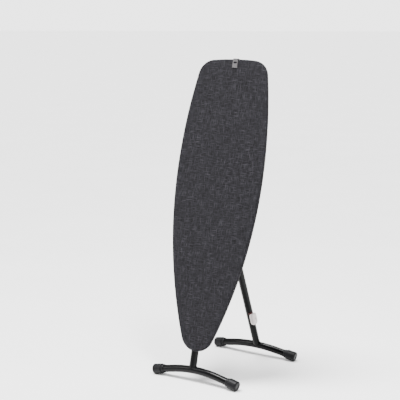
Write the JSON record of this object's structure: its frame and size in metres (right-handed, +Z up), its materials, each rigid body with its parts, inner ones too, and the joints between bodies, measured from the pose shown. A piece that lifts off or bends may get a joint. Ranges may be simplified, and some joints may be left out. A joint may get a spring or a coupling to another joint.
{
  "type": "ironing board",
  "caption": "Tapered ironing board with a fabric cover, stood upright on two T-shaped tube legs that fold and open, with a hanging clip.",
  "frame": {"origin": "centre of the standing footprint box on the floor", "axes": "+Z up, X along the foot bars, +Y away from the ironing surface"},
  "size_m": [0.433, 0.5295, 1.3527],
  "materials": {
    "cover_fabric": "woven cotton, charcoal melange",
    "pad_foam": "felted pad",
    "black_steel": "powder coat",
    "black_tube": "gloss powder coat",
    "zinc_steel": "zinc plate",
    "cap_plastic": "moulded",
    "grey_plastic": "moulded",
    "light_plastic": "moulded",
    "red_plastic": "moulded",
    "clip_steel": "satin"
  },
  "bodies": {
    "board": {"board_cover": "cover_fabric", "cover_hem": "cover_fabric", "board_pad": "pad_foam", "mesh_plate": "black_steel", "guide_rail_left": "zinc_steel", "guide_rail_right": "zinc_steel", "nose_strap": "black_steel", "middle_strap": "black_steel", "tail_strap": "black_steel", "leg_rest": "grey_plastic", "height_rack": "zinc_steel", "rear_bracket": "zinc_steel", "bracket_rivets": "zinc_steel", "rear_hinge_pin": "zinc_steel"},
    "carriage": {"carriage_sled": "zinc_steel", "front_hinge_pin": "zinc_steel", "lever_pin": "zinc_steel"},
    "height_lever": {"height_lever": "zinc_steel", "lever_grip": "grey_plastic"},
    "front_leg": {"front_leg_tube": "black_tube", "front_tube_rivets": "black_tube", "front_leg_tongue": "black_tube", "front_foot_bar": "black_tube", "front_cap_left": "cap_plastic", "front_cap_right": "cap_plastic"},
    "rear_yoke": {"rear_yoke": "zinc_steel"},
    "rear_leg": {"rear_leg_tube": "black_tube", "rear_leg_tongue": "black_tube", "rear_foot_bar": "black_tube", "rear_cap_left": "cap_plastic", "rear_cap_right": "cap_plastic", "catch_seat": "light_plastic", "catch_tab": "red_plastic", "catch_pivot": "zinc_steel", "rear_tube_rivets": "black_tube"},
    "transport_catch": {"transport_catch": "light_plastic"},
    "hang_clip": {"hang_clip": "clip_steel"}
  },
  "joints": [
    {"name": "height_slide", "type": "slide", "parent": "board", "child": "carriage", "axis": [0, 0.2402, 0.9707], "range_m": [-0.16, 0]},
    {"name": "front_leg_swing", "type": "hinge", "parent": "carriage", "child": "front_leg", "pos_m": [-0.0175, 0.04804, 1.19574], "axis": [1, 0, 0], "range_deg": [0, 38]},
    {"name": "leg_open", "type": "hinge", "parent": "board", "child": "rear_yoke", "pos_m": [0.0175, -0.05812, 0.75844], "axis": [1, 0, 0], "range_deg": [0, 75]},
    {"name": "rear_leg_fold", "type": "hinge", "parent": "rear_yoke", "child": "rear_leg", "pos_m": [0.0175, -0.05812, 0.75844], "axis": [1, 0, 0], "range_deg": [-33, 0]},
    {"name": "lever_squeeze", "type": "hinge", "parent": "carriage", "child": "height_lever", "pos_m": [0.038, 0.04118, 1.22628], "axis": [1, 0, 0], "range_deg": [0, 14], "stiffness_Nm_per_rad": 0.5, "springref_deg": -11.46},
    {"name": "catch_turn", "type": "hinge", "parent": "rear_leg", "child": "transport_catch", "pos_m": [0.03995, 0.17467, 0.188], "axis": [1, 0, 0], "range_deg": [0, 90]},
    {"name": "clip_pull", "type": "slide", "parent": "board", "child": "hang_clip", "axis": [0, 0.2402, 0.9707], "range_m": [0, 0.03]}
  ],
  "couplings": [
    {"joint": "front_leg_swing", "follows": "leg_open", "ratio": 0.5}
  ]
}
